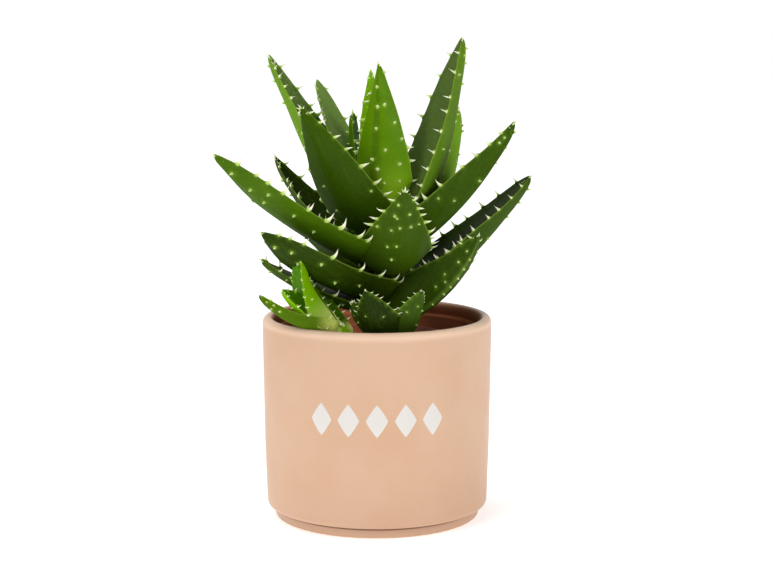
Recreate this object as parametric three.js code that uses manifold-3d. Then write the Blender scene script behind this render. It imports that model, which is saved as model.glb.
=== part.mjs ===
// A short-leaved toothed aloe in a terracotta-coloured plastic nursery pot, standing inside a peach
// ceramic cover pot. Millimetres, +Z up. The origin is the middle of the cover pot's flat underside.
// The camera side of the plant is -Y, and +X is to the right.
import * as THREE from "three";
import { mergeVertices } from "three/addons/utils/BufferGeometryUtils.js";
import Module from "manifold-3d";

const wasm = await Module();
wasm.setup();

// Driving dimensions

// The clearance that every piece keeps from its neighbours.
const GAP = 0.3;

// The ceramic cover pot: a cylinder on a low foot ring, a little wider upward.
const COVER = {
  height: 106.4,
  rimRadius: 60.3,
  rimRound: 3,
  middleRadius: 59.5,
  middleHeight: 40,
  bodyRadius: 58.5,
  bodyRound: 3.3,
  footRadius: 54.1,
  footRound: 1,
  footHeight: 5.2,
  groove: 0.8,
  recessRadius: 54.6,
  recessDepth: 7,
  innerRadius: 52.4,
  innerFillet: 8,
  floor: 7,
  sides: 40,
};

// The thin plastic pot that stands inside it.
const NURSERY = {
  centre: [-3.5, 0],
  height: 87,
  baseRadius: 32,
  topRadius: 42.6,
  rimRadius: 45,
  rimHeight: 7,
  rimRound: 0.8,
  lipThick: 1.8,
  wall: 1.3,
  holes: 5,
  holeRadius: 4,
  holeRing: 20,
  holeSides: 8,
  sides: 28,
};

// The potting soil: a low dome with lumps, their height and how many go round a millimetre.
const SOIL = { top: 88.5, dome: 2.2, lump: 0.9, waves: [0.53, 0.47, 1.1, 0.9], sides: 24, rings: 5 };

// The woody main stem, from the root crown in the soil to the growing tip.
const STEM = {
  centre: [4.5, 0],
  foot: 58,
  footRadius: 3,
  neck: 80,
  neckRadius: 8.5,
  waist: 150,
  waistRadius: 6.5,
  top: 172,
  topRadius: 3.5,
  sides: 12,
};

// What every leaf has in common: its rings along the blade and how far they bunch towards the tip,
// where it is widest, its base's share of that width, how it tapers, the roundness of its keel, its
// edge's half thickness and the half width below which that thins out, and how far its base starts
// from the axis of its stem.
const LEAF = {
  rings: 6,
  bunch: 0.35,
  widest: 0.26,
  baseWidth: 0.62,
  taper: 2.2,
  keelPower: 1.8,
  edge: 0.5,
  thinEdge: 3,
  root: 4,
};

// Teeth on a leaf's edges: flat three-sided prickles that lean towards the tip, and the tip's spine.
const TOOTH = {
  length: 2.9,
  foot: 2.3,
  flat: 0.45,
  sunk: 2.2,
  shallow: 0.2,
  lean: 0.45,
  lift: 0.15,
  spacing: 10,
  first: 0.17,
  last: 0.92,
  crowding: 0.8,
  stagger: 0.3,
  shortest: 0.75,
  longest: 1.15,
  spine: 1.6,
  spineFoot: 1,
  spineAt: 0.94,
};

// Each leaf of the main rosette, from the growing tip down: the height of its base on the stem, its
// tip, how far the blade bows below the straight line between them (sag), its width and its middle's
// thickness, and how deeply its upper face is channelled (cup, a share of its half width). Some bow
// to their left too (sway), roll about their own length (degrees), or stay wide for longer (taper).
const ROSETTE = {
  leaf_heart: { height: 168, tip: [-3, 14, 234.4], sag: 3.5, width: 22, thick: 5, cup: 0.4 },
  leaf_crown: {
    height: 166,
    tip: [1.1, -10.6, 238.3],
    sag: 5.7,
    sway: 2.5,
    width: 35,
    thick: 7.4,
    cup: 0.48,
    roll: -3,
    taper: 1.6,
  },
  leaf_left_tall: {
    height: 162,
    tip: [-56.4, 13.5, 242.5],
    sag: 2.3,
    sway: 1,
    width: 34.5,
    thick: 7.3,
    cup: 0.75,
    roll: -13,
    taper: 1.65,
  },
  leaf_rear_upright: {
    height: 159,
    tip: [-12, 10.6, 212.1],
    sag: 8.5,
    sway: -6,
    width: 23,
    thick: 5,
    cup: 0.15,
    roll: 22,
    taper: 4.6,
  },
  leaf_rear_left_upright: {
    height: 162,
    tip: [-31.9, 41, 228.6],
    sag: -4,
    sway: 5.8,
    width: 32,
    thick: 6,
    cup: 0.1,
    roll: 22,
    taper: 4,
  },
  leaf_right_tall: {
    height: 155,
    tip: [43.1, -16, 251.7],
    sag: 1.2,
    sway: 3,
    width: 34,
    thick: 15.5,
    cup: 0.05,
    roll: 43,
    taper: 2.7,
  },
  leaf_rear_right_upright: {
    height: 154,
    tip: [42.7, 23, 214],
    sag: 9.3,
    width: 30,
    thick: 8,
    cup: 0.4,
    roll: -20,
  },
  leaf_left_broad: {
    height: 151.5,
    tip: [-38, -33, 217.3],
    sag: 7.2,
    sway: 6,
    width: 37.8,
    thick: 6.2,
    cup: 0.08,
    roll: 26,
    taper: 2.5,
  },
  leaf_right_upper: {
    height: 152,
    tip: [70.1, -17, 209.3],
    sag: 3,
    sway: 5.6,
    width: 34.5,
    thick: 13.5,
    cup: 0.08,
    roll: -7,
    taper: 1.95,
  },
  leaf_rear_left: {
    height: 149.5,
    tip: [-54.9, 38, 187.2],
    sag: 7,
    sway: 1,
    width: 29.5,
    thick: 7,
    cup: 0.65,
    roll: -3,
  },
  leaf_rear_right: {
    height: 143,
    tip: [35, 62, 176],
    sag: 6,
    width: 30,
    thick: 8,
    cup: 0.4,
    spacing: 14,
    rings: 5,
  },
  leaf_left_long: {
    height: 138,
    tip: [-80, -53, 195.2],
    sag: 7.6,
    sway: 10.5,
    width: 41,
    thick: 6,
    cup: 0.02,
    roll: 8,
    taper: 4.5,
  },
  leaf_front: { height: 138, tip: [13.8, -58, 177.8], sag: 6.5, width: 43, thick: 8, cup: 0.3 },
  leaf_rear: {
    height: 136,
    tip: [-20, 64, 166],
    sag: 6,
    width: 30,
    thick: 8,
    cup: 0.4,
    spacing: 14,
    rings: 5,
  },
  leaf_left_hidden: {
    height: 131,
    tip: [-40.7, 10, 153.6],
    sag: 2,
    width: 27,
    thick: 7,
    cup: 0.4,
    spacing: 14,
    rings: 5,
  },
  leaf_right_hidden: {
    height: 128,
    tip: [38, 38, 141],
    sag: 3,
    width: 26,
    thick: 7,
    cup: 0.4,
    spacing: 14,
    rings: 5,
  },
  leaf_right_long: {
    height: 125,
    tip: [81.3, 15, 178.8],
    sag: 4.4,
    sway: 9,
    width: 38.4,
    thick: 13.5,
    cup: 0.2,
    roll: -1,
    taper: 5,
  },
  leaf_left_low: {
    height: 120,
    tip: [-57.1, -56, 157],
    sag: 5.5,
    sway: 6.5,
    width: 36,
    thick: 7,
    cup: 0,
    roll: 15,
    taper: 4.8,
    root: -3,
  },
  leaf_right_low: {
    height: 113,
    tip: [51.6, -32.3, 152.8],
    sag: 4.2,
    sway: 4.4,
    width: 28,
    thick: 12.8,
    cup: 0.42,
    roll: -34,
    taper: 2.8,
    root: -3,
  },
  leaf_rear_low: {
    height: 119,
    tip: [10, 62, 138],
    sag: 4,
    width: 30,
    thick: 8,
    cup: 0.4,
    spacing: 14,
    rings: 5,
  },
  leaf_left_lowest: {
    height: 115,
    tip: [-58.3, -34, 140.8],
    sag: 4.6,
    sway: -2.5,
    width: 33.6,
    thick: 6.5,
    cup: 0.06,
    roll: -9,
    taper: 4.6,
  },
};

// Two offsets at the front of the soil. Each has a short stem from foot to top, and its leaves start
// from the top of it.
const PUPS = {
  pup_left: {
    foot: [-14, -30, 76],
    top: [-18.5, -33, 105],
    radius: 4.5,
    leaves: {
      upright: {
        base: [-18.5, -32.5, 92.5],
        tip: [-38, -50.5, 145.8],
        sag: 6,
        sway: -8,
        width: 20,
        thick: 9.2,
        cup: 0.4,
        roll: 160,
        taper: 4.4,
      },
      front: {
        base: [-11, -31, 102],
        tip: [-32.8, -31.5, 128.9],
        sag: 0.4,
        sway: -1.1,
        width: 14.5,
        thick: 4.5,
        cup: 0.39,
        roll: -14,
      },
      middle: {
        base: [-19.5, -39, 107.5],
        tip: [-47.3, -49, 127],
        sag: 0,
        sway: -2.5,
        width: 18.6,
        thick: 7,
        cup: 0.4,
        roll: -38,
        taper: 2.4,
      },
      long: {
        base: [-17.6, -40, 108.1],
        tip: [-59.9, -30, 121.5],
        sag: 2.5,
        sway: 8.5,
        width: 12.5,
        thick: 4.2,
        cup: 0.04,
        roll: 40,
        taper: 4.2,
      },
      basal: { base: [-10, -36, 97], tip: [-17.2, -44, 108.5], sag: 1, width: 11, thick: 4, cup: 0.3 },
    },
  },
  pup_front: {
    foot: [5, -27, 76],
    top: [4.5, -31, 105],
    radius: 5,
    leaves: {
      right: { tip: [22, -51, 127.1], sag: 1.5, sway: 1.5, width: 26, thick: 6.5, cup: 0.42 },
      broad: {
        base: [6.5, -31, 104],
        tip: [-5.5, -60, 128.4],
        sag: 2,
        width: 27,
        thick: 6.5,
        cup: 0.36,
        roll: 10,
      },
      left: {
        tip: [-11.8, -46.5, 120.9],
        sag: 0.8,
        sway: -0.8,
        width: 23,
        thick: 5.4,
        cup: 0.38,
        roll: 18,
      },
    },
  },
};
const PUP_LEAF = { root: 1.5, toothScale: 0.6, spacing: 7 };
const PUP_STEM = { narrowing: 0.6, sides: 10 };

const FINISH = {
  ceramic: { color: 0xe4bda2, roughness: 0.45 },
  plastic: { color: 0xa65a41, roughness: 0.4 },
  soil: { color: 0x35271c, roughness: 0.95 },
  bark: { color: 0x6b5a3a, roughness: 0.85 },
  young: { color: 0x6f9a2c, roughness: 0.5 },
  grown: { color: 0x56772f, roughness: 0.5 },
  old: { color: 0x42592a, roughness: 0.55 },
};

// The places round a leaf's section, as angles from its left edge over its upper face.
const SECTION = [0, 50, 90, 130, 180, 220, 270, 320].map(THREE.MathUtils.degToRad);
const [LEFT_EDGE, UPPER_FACE, RIGHT_EDGE, KEEL] = [0, 2, 4, 6];

// How near to folded back a corner can be before it is cut short when it is pushed outward.
const SHARPEST = 0.3;

// Leaf form

const { degToRad, clamp } = THREE.MathUtils;

// Half the blade's width, a share t of the way along it.
function halfWidth(leaf, t) {
  const swell = clamp(t / LEAF.widest, 0, 1);
  const share = LEAF.baseWidth + (1 - LEAF.baseWidth) * swell * swell * (3 - 2 * swell);
  return (leaf.width / 2) * share * (1 - Math.pow(t, leaf.taper ?? LEAF.taper));
}

// The blade's middle line, from its base to its tip, and the level direction on its left.
function midline(leaf) {
  const foot = new THREE.Vector3(...leaf.base);
  const tip = new THREE.Vector3(...leaf.tip);
  const chord = tip.clone().sub(foot);
  const level = new THREE.Vector3(chord.x, chord.y, 0).normalize();
  const left = new THREE.Vector3(-level.y, level.x, 0);
  const below = left.clone().cross(chord).normalize();
  const knee = foot.clone().lerp(tip, 0.5);
  knee.addScaledVector(below, 2 * leaf.sag);
  knee.addScaledVector(left, 2 * (leaf.sway ?? 0));
  foot.addScaledVector(level, leaf.root ?? LEAF.root);
  return { curve: new THREE.QuadraticBezierCurve3(foot, knee, tip), left };
}

// The blade's own axes at t: along it, across it to its left, and up out of its upper face.
function bladeAxes(leaf, line, t) {
  const along = line.curve.getTangent(t);
  const across = line.left.clone().addScaledVector(along, -along.dot(line.left)).normalize();
  const roll = degToRad(leaf.roll ?? 0);
  across.applyAxisAngle(along, roll);
  return { along, across, up: along.clone().cross(across) };
}

// A closed flat outline pushed outward by grow. Its sharp corners are cut short.
function pushOut(outline, grow) {
  const normals = outline.map((point, i) => {
    const side = outline[(i + 1) % outline.length].clone().sub(point).normalize();
    return new THREE.Vector2(side.y, -side.x);
  });
  return outline.map((point, i) => {
    const corner = normals.at(i - 1).clone().add(normals[i]);
    return corner.multiplyScalar((2 * grow) / Math.max(SHARPEST, corner.lengthSq())).add(point);
  });
}

// The blade's section at t as flat points: how far each lies to the left, and up out of the blade. Its
// upper face is a shallow channel, and underneath it is rounded like a boat's keel.
function section(leaf, t, grow) {
  const half = halfWidth(leaf, t);
  const channel = leaf.cup * half * (1 - 0.5 * t);
  const keel = channel + leaf.thick * Math.pow(1 - t * t, 0.8);
  const edge = LEAF.edge * Math.min(1, half / LEAF.thinEdge);
  const outline = SECTION.map((angle) => {
    const c = Math.cos(angle);
    const s = Math.sin(angle);
    const rise = s >= 0 ? -channel * (1 - c * c) : -keel * (1 - Math.pow(Math.abs(c), LEAF.keelPower));
    return new THREE.Vector2(c * half, rise + edge * s);
  });
  return grow > 0 ? pushOut(outline, grow) : outline;
}

// A point of the blade's skin at t along it, at one of its section's places.
function skinPoint(leaf, line, t, place, grow = 0) {
  const axes = bladeAxes(leaf, line, t);
  const spot = section(leaf, t, grow)[place];
  return line.curve.getPoint(t).addScaledVector(axes.across, spot.x).addScaledVector(axes.up, spot.y);
}

// The middle of the blade's section at t, halfway between its upper face and its keel.
const sectionMiddle = (leaf, line, t) =>
  skinPoint(leaf, line, t, UPPER_FACE).lerp(skinPoint(leaf, line, t, KEEL), 0.5);

// A closed leaf blade: a cone whose rings are laid along the midline as leaf sections.
function bladeGeometry(leaf, line, grow = 0) {
  const sides = SECTION.length;
  const shape = new THREE.CylinderGeometry(0, 1, 1, sides, leaf.rings ?? LEAF.rings);
  const spots = shape.attributes.position;
  for (let i = 0; i < spots.count; i++) {
    const share = spots.getY(i) + 0.5;
    const t = share + LEAF.bunch * (Math.sin((share * Math.PI) / 2) - share);
    const onAxis = Math.hypot(spots.getX(i), spots.getZ(i)) < 1e-6;
    const turn = Math.atan2(spots.getX(i), spots.getZ(i)) / (2 * Math.PI);
    const side = Math.round((turn + 1) * sides) % sides;
    const point = onAxis ? sectionMiddle(leaf, line, t) : skinPoint(leaf, line, t, side, grow);
    spots.setXYZ(i, point.x, point.y, point.z);
  }
  return shape;
}

// A three-sided spike from a root inside the blade to a point outside it, flattened across flat.
function spikeGeometry(root, point, foot, flat) {
  const out = point.clone().sub(root);
  const breadth = out.clone().cross(flat).normalize();
  const thickness = breadth.clone().cross(out).normalize();
  const frame = new THREE.Matrix4().makeBasis(
    breadth.multiplyScalar(foot),
    out,
    thickness.multiplyScalar(foot * TOOTH.flat),
  );
  frame.setPosition(root.clone().lerp(point, 0.5));
  return new THREE.ConeGeometry(1, 1, 3, 1).applyMatrix4(frame);
}

// A tooth at t on the edge that side names, 1 for left and -1 for right. Side 0 is the tip's spine.
function toothGeometry(leaf, line, t, side, grow = 0) {
  const axes = bladeAxes(leaf, line, t);
  const scale = leaf.toothScale ?? 1;
  const middle = sectionMiddle(leaf, line, t);
  if (side === 0) {
    const point = line.curve.getPoint(1).addScaledVector(axes.along, scale * TOOTH.spine + grow);
    return spikeGeometry(middle, point, scale * TOOTH.spineFoot + grow, axes.up);
  }
  const edge = skinPoint(leaf, line, t, side > 0 ? LEFT_EDGE : RIGHT_EDGE);
  const inward = middle.sub(edge);
  const sunk = Math.min(TOOTH.sunk, inward.length() / 2);
  const foot = TOOTH.foot * scale * Math.min(1, sunk / TOOTH.sunk + TOOTH.shallow);
  const out = axes.along.clone().multiplyScalar(TOOTH.lean).addScaledVector(axes.across, side);
  out.addScaledVector(axes.up, TOOTH.lift).normalize();
  const swell = TOOTH.shortest + (TOOTH.longest - TOOTH.shortest) * Math.sin(Math.PI * t);
  const length = scale * TOOTH.length * swell;
  const root = edge.clone().addScaledVector(inward.normalize(), sunk);
  return spikeGeometry(root, edge.addScaledVector(out, length + grow), foot + grow, axes.up);
}

// Where a leaf's teeth stand, as [t, side] pairs: closer together towards the tip, and staggered.
function toothPlaces(leaf, line) {
  const count = Math.round(line.curve.getLength() / (leaf.spacing ?? TOOTH.spacing));
  const places = [[TOOTH.spineAt, 0]];
  for (const side of [1, -1]) {
    for (let k = 0; k < count; k++) {
      const share = (k + (1 - side * TOOTH.stagger) / 2) / count;
      places.push([TOOTH.first + (TOOTH.last - TOOTH.first) * Math.pow(share, TOOTH.crowding), side]);
    }
  }
  return places;
}

// Solids

// A closed three.js geometry as a manifold-3d solid, with its shared corners merged.
function solid(geometry) {
  const plain = geometry.index ? geometry.toNonIndexed() : geometry.clone();
  plain.deleteAttribute("normal");
  plain.deleteAttribute("uv");
  const merged = mergeVertices(plain, 1e-4);
  return new wasm.Manifold(
    new wasm.Mesh({
      numProp: 3,
      vertProperties: merged.attributes.position.array,
      triVerts: new Uint32Array(merged.index.array),
    }),
  );
}

// A manifold-3d solid as a three.js geometry.
function geometryOf(body) {
  const mesh = body.getMesh();
  const shape = new THREE.BufferGeometry();
  shape.setAttribute("position", new THREE.BufferAttribute(mesh.vertProperties, 3));
  shape.setIndex(new THREE.BufferAttribute(mesh.triVerts, 1));
  shape.computeVertexNormals();
  return shape;
}

function boxesMeet(a, b) {
  const p = a.boundingBox();
  const q = b.boundingBox();
  return [0, 1, 2].every((k) => p.min[k] < q.max[k] && q.min[k] < p.max[k]);
}

const meets = (a, b) => boxesMeet(a, b) && a.intersect(b).volume() > 1e-4;

// A solid less the others that it meets. Loose scraps that this leaves are dropped.
function cutClear(body, others) {
  let rest = body;
  for (const other of others) {
    if (boxesMeet(rest, other)) rest = rest.subtract(other);
  }
  return rest.decompose().sort((a, b) => b.volume() - a.volume())[0];
}

// Pots, soil and stems

const at = (radius, height) => new THREE.Vector2(radius, height);

const lathe = (points, sides) => new THREE.LatheGeometry(points, sides).rotateX(Math.PI / 2);

// Points on an arc of a lathe profile, both ends included, in degrees from the outward direction.
const arc = (r, z, radius, from, to, steps) =>
  Array.from({ length: steps + 1 }, (_, i) => {
    const turn = degToRad(from + ((to - from) * i) / steps);
    return at(r + radius * Math.cos(turn), z + radius * Math.sin(turn));
  });

function coverPot(p) {
  const rim = p.height - p.rimRound;
  const ledge = p.height - p.recessDepth;
  const fillet = p.floor + p.innerFillet;
  return lathe(
    [
      at(0, 0),
      at(p.footRadius - p.footRound, 0),
      at(p.footRadius, p.footRound),
      at(p.footRadius, p.footHeight - p.groove),
      at(p.footRadius - p.groove, p.footHeight),
      ...arc(p.bodyRadius - p.bodyRound, p.footHeight + p.bodyRound, p.bodyRound, -90, 0, 3),
      at(p.middleRadius, p.middleHeight),
      at(p.rimRadius, rim - 3 * p.rimRound),
      ...arc(p.rimRadius - p.rimRound, rim, p.rimRound, 0, 180, 6),
      at(p.recessRadius, ledge + 1),
      at(p.innerRadius, ledge),
      at(p.innerRadius, fillet),
      ...arc(p.innerRadius - p.innerFillet, fillet, p.innerFillet, -30, -90, 2),
      at(0, p.floor),
    ],
    p.sides,
  );
}

// The nursery pot's inside radius at a height, for its soil.
function nurseryInside(p, height) {
  const share = (height - COVER.floor - GAP) / (p.height - p.rimHeight);
  return p.baseRadius + (p.topRadius - p.baseRadius) * share - p.wall;
}

function nurseryPot(p) {
  const foot = COVER.floor + GAP;
  const top = foot + p.height;
  const lip = top - p.rimHeight;
  const shell = lathe(
    [
      at(0, foot),
      at(p.baseRadius, foot),
      at(p.topRadius, lip),
      at(p.rimRadius - p.rimRound, lip),
      at(p.rimRadius, lip + p.rimRound),
      at(p.rimRadius, top - p.rimRound),
      at(p.rimRadius - p.rimRound, top),
      at(p.rimRadius - p.lipThick, top - p.rimRound),
      at(nurseryInside(p, lip), lip - p.wall),
      at(nurseryInside(p, foot + p.wall), foot + p.wall),
      at(0, foot + p.wall),
    ],
    p.sides,
  ).translate(...p.centre, 0);
  let body = solid(shell);
  for (let i = 0; i < p.holes; i++) {
    const turn = (2 * Math.PI * i) / p.holes;
    const hole = new THREE.CylinderGeometry(p.holeRadius, p.holeRadius, 4 * p.wall, p.holeSides);
    const [x, y] = [p.holeRing * Math.cos(turn), p.holeRing * Math.sin(turn)];
    hole.rotateX(Math.PI / 2).translate(p.centre[0] + x, p.centre[1] + y, foot);
    body = body.subtract(solid(hole));
  }
  return body;
}

// Low lumps of the soil's surface, as waves that cross each other.
function lumps([a, b, c, d], x, y) {
  const broad = Math.sin(a * x + 1.3) * Math.cos(b * y - 0.4);
  return broad + 0.5 * Math.sin(c * x - d * y);
}

// Potting soil that fills the nursery pot, clear of its wall, up to an uneven dome.
function soilBody(p) {
  const foot = COVER.floor + NURSERY.wall + 2 * GAP;
  const edge = p.top - p.dome;
  const rim = nurseryInside(NURSERY, edge) - 2 * GAP;
  const profile = [at(0, foot), at(nurseryInside(NURSERY, foot) - 2 * GAP, foot)];
  for (let ring = p.rings; ring >= 0; ring--) {
    const share = ring / p.rings;
    profile.push(at(rim * share, edge + p.dome * (1 - share * share)));
  }
  const shape = lathe(profile, p.sides);
  const spots = shape.attributes.position;
  for (let i = 0; i < spots.count; i++) {
    const [x, y, z] = [spots.getX(i), spots.getY(i), spots.getZ(i)];
    const onTop = z > edge - 1 && Math.hypot(x, y) < rim - 1;
    if (onTop) spots.setZ(i, z + p.lump * lumps(p.waves, x, y));
  }
  return solid(shape.translate(...NURSERY.centre, 0));
}

function stem(p, grow = 0) {
  return lathe(
    [
      at(0, p.foot - grow),
      at(p.footRadius + grow, p.foot - grow),
      at(p.neckRadius + grow, p.neck - grow),
      at(p.waistRadius + grow, p.waist),
      at(p.topRadius + grow, p.top - p.topRadius),
      at(0, p.top + grow),
    ],
    p.sides,
  ).translate(...p.centre, 0);
}

// A pup's short stem, from its foot in the soil up to where its leaves start.
function pupStem(p, grow = 0) {
  const foot = new THREE.Vector3(...p.foot);
  const rise = new THREE.Vector3(...p.top).sub(foot);
  const length = rise.length();
  const turn = new THREE.Quaternion().setFromUnitVectors(new THREE.Vector3(0, 1, 0), rise.normalize());
  const shape = new THREE.CylinderGeometry(
    PUP_STEM.narrowing * p.radius + grow,
    p.radius + grow,
    length + 2 * grow,
    PUP_STEM.sides,
  );
  return shape.applyQuaternion(turn).translate(...foot.addScaledVector(rise, length / 2));
}

// Assembly

const group = new THREE.Group();

function place(name, geometry, finish) {
  const material = new THREE.MeshStandardMaterial({ ...FINISH[finish], metalness: 0 });
  const mesh = new THREE.Mesh(geometry, material);
  mesh.name = name;
  group.add(mesh);
}

const stems = [solid(stem(STEM))];
const stemHalos = [solid(stem(STEM, GAP))];
const leaves = [];

Object.entries(ROSETTE).forEach(([name, row], i, all) => {
  const base = [...STEM.centre, row.height];
  const finish = i < 0.3 * all.length ? "young" : i < 0.7 * all.length ? "grown" : "old";
  leaves.push({ ...row, name, base, finish });
});
for (const [name, pup] of Object.entries(PUPS)) {
  stems.push(solid(pupStem(pup)));
  stemHalos.push(solid(pupStem(pup, GAP)));
  for (const [leafName, row] of Object.entries(pup.leaves)) {
    const finish = name === "pup_left" ? "young" : "old";
    const whole = { ...PUP_LEAF, base: pup.top, ...row };
    leaves.push({ ...whole, name: `${name}_leaf_${leafName}`, finish });
  }
}

place("cover_pot", coverPot(COVER), "ceramic");
const pot = nurseryPot(NURSERY);
place("nursery_pot", geometryOf(pot), "plastic");
const soil = cutClear(soilBody(SOIL), stemHalos);
place("soil", geometryOf(soil), "soil");
["stem", ...Object.keys(PUPS).map((name) => `${name}_stem`)].forEach((name, i) => {
  place(name, geometryOf(stems[i]), "bark");
});

// Inner leaves stay whole, and each outer one is cut to clasp the stem and the leaves inside it.
const halos = [...stemHalos];
for (const leaf of leaves) {
  leaf.line = midline(leaf);
  leaf.body = cutClear(solid(bladeGeometry(leaf, leaf.line)), halos);
  halos.push(solid(bladeGeometry(leaf, leaf.line, GAP)));
}

// Teeth stand only where they meet their own leaf and nothing else.
const standing = [solid(coverPot(COVER)), pot, soil, ...stems];
for (const leaf of leaves) {
  const others = [...standing, ...leaves.filter((other) => other !== leaf).map((other) => other.body)];
  const teeth = toothPlaces(leaf, leaf.line)
    .filter(([t, side]) => {
      const wide = solid(toothGeometry(leaf, leaf.line, t, side, GAP));
      return meets(wide, leaf.body) && !others.some((other) => meets(wide, other));
    })
    .map(([t, side]) => solid(toothGeometry(leaf, leaf.line, t, side)));
  leaf.body = wasm.Manifold.union([leaf.body, ...teeth]);
  place(leaf.name, geometryOf(leaf.body), leaf.finish);
}

export default group;
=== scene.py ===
"""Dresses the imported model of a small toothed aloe, rooted in a plastic pot inside a peach cover pot.

Lengths in this script are millimetres until a piece's mesh is finished, which scales it to metres. The
plant's camera side is -Y and +X is to the right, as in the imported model.
"""

import logging
import math
import random
from dataclasses import dataclass
from enum import Enum
from typing import Any, Iterable, Union

import bmesh
import bpy
from mathutils import Matrix, Vector, noise


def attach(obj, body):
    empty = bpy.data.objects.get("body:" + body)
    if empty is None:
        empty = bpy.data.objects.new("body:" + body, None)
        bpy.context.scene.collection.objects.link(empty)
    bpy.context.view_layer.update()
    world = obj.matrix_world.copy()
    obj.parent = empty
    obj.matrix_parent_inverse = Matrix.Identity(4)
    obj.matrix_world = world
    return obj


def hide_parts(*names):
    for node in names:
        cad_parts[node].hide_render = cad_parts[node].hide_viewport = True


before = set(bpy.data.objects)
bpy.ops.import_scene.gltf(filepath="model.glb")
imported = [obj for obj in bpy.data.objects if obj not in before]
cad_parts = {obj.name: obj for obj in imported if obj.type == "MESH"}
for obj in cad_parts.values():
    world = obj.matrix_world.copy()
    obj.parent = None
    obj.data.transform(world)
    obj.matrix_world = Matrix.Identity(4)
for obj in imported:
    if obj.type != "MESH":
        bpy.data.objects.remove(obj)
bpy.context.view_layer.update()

log = logging.getLogger("aloe")

MM = 0.001
UP = Vector((0.0, 0.0, 1.0))

Pair = tuple[float, float]
Triple = tuple[float, float, float]
Shade = tuple[float, float, float, float]
Shares = tuple[float, ...]
Operand = Union["Wire", float]

WHITE: Shade = (1.0, 1.0, 1.0, 1.0)


def colour(red: int, green: int, blue: int) -> Shade:
    """Turns a screen colour into the linear one that shaders take.

    Args:
        red: The red part, 0 to 255.
        green: The green part, 0 to 255.
        blue: The blue part, 0 to 255.

    Returns:
        Linear red, green and blue, and an alpha of 1.
    """
    parts = [part / 255.0 for part in (red, green, blue)]
    linear = [part / 12.92 if part <= 0.04045 else ((part + 0.055) / 1.055) ** 2.4 for part in parts]
    return (linear[0], linear[1], linear[2], 1.0)


def smooth(share: float) -> float:
    """Eases a share from 0 to 1 with level ends."""
    held = min(1.0, max(0.0, share))
    return held * held * (3.0 - 2.0 * held)


def add_object(name: str, data: bpy.types.ID) -> bpy.types.Object:
    """Adds an object to the scene.

    Args:
        name: Its name.
        data: Its mesh, light or camera.

    Returns:
        The object.
    """
    made = bpy.data.objects.new(name, data)
    bpy.context.scene.collection.objects.link(made)
    return made


class Wire:
    """One output of a finish's node graph, which sums and products are written with."""

    def __init__(self, graph: "Graph", socket: bpy.types.NodeSocket) -> None:
        """Keeps the graph and the socket that the value comes out of."""
        self.graph = graph
        self.socket = socket

    def _maths(self, operation: str, first: Operand, second: Operand) -> "Wire":
        """The result of one Math node on two values."""
        return self.graph.node("ShaderNodeMath", {"operation": operation}, {0: first, 1: second})

    def __add__(self, other: Operand) -> "Wire":
        """This value plus another."""
        return self._maths("ADD", self, other)

    def __radd__(self, other: Operand) -> "Wire":
        """Another value plus this."""
        return self._maths("ADD", other, self)

    def __sub__(self, other: Operand) -> "Wire":
        """This value less another."""
        return self._maths("SUBTRACT", self, other)

    def __rsub__(self, other: Operand) -> "Wire":
        """Another value less this."""
        return self._maths("SUBTRACT", other, self)

    def __mul__(self, other: Operand) -> "Wire":
        """This value times another."""
        return self._maths("MULTIPLY", self, other)

    def __rmul__(self, other: Operand) -> "Wire":
        """Another value times this."""
        return self._maths("MULTIPLY", other, self)

    def between(self, low: float, high: float) -> "Wire":
        """Spreads the values from low to high over 0 to 1, smoothly and held at both ends."""
        inputs = {"Value": self, "From Min": low, "From Max": high}
        return self.graph.node("ShaderNodeMapRange", {"interpolation_type": "SMOOTHSTEP"}, inputs)


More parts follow.
